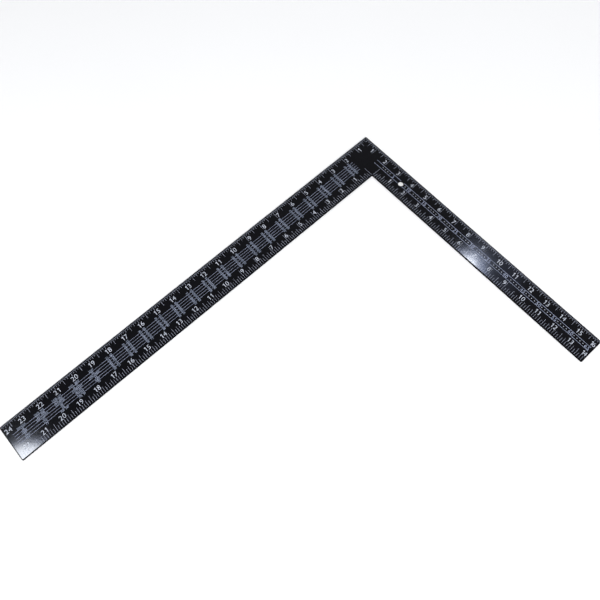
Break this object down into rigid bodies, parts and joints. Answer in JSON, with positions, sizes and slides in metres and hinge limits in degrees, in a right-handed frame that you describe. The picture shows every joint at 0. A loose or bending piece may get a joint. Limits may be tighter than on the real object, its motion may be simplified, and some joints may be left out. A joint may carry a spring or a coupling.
{
  "type": "framing square",
  "caption": "One-piece L-shaped steel square, black enamelled, with inch scales on both arms, a rafter table, an octagon scale and a hanging hole.",
  "frame": {"origin": "middle of the square's bounding rectangle, on its underside; the outer corner, called the heel, is at X -0.3048, Y -0.2032", "axes": "+X along the long body, away from the heel; +Y along the shorter tongue, away from the heel; +Z out of the graduated front face"},
  "size_m": [0.6096, 0.4064, 0.0023],
  "materials": {
    "black_enamel": "glossy black enamel over steel, with a fine orange peel",
    "white_ink": "off-white printed enamel, slightly lavender"
  },
  "bodies": {
    "root": {"steel_square": "black_enamel", "rafter_table_rule_1": "white_ink", "rafter_table_rule_2": "white_ink", "rafter_table_rule_3": "white_ink", "rafter_table_rule_4": "white_ink", "rafter_table_rule_5": "white_ink", "octagon_rule_outer_near_heel": "white_ink", "octagon_rule_outer_past_hole": "white_ink", "octagon_rule_inner_near_heel": "white_ink", "octagon_rule_inner_past_hole": "white_ink"}
  },
  "joints": []
}
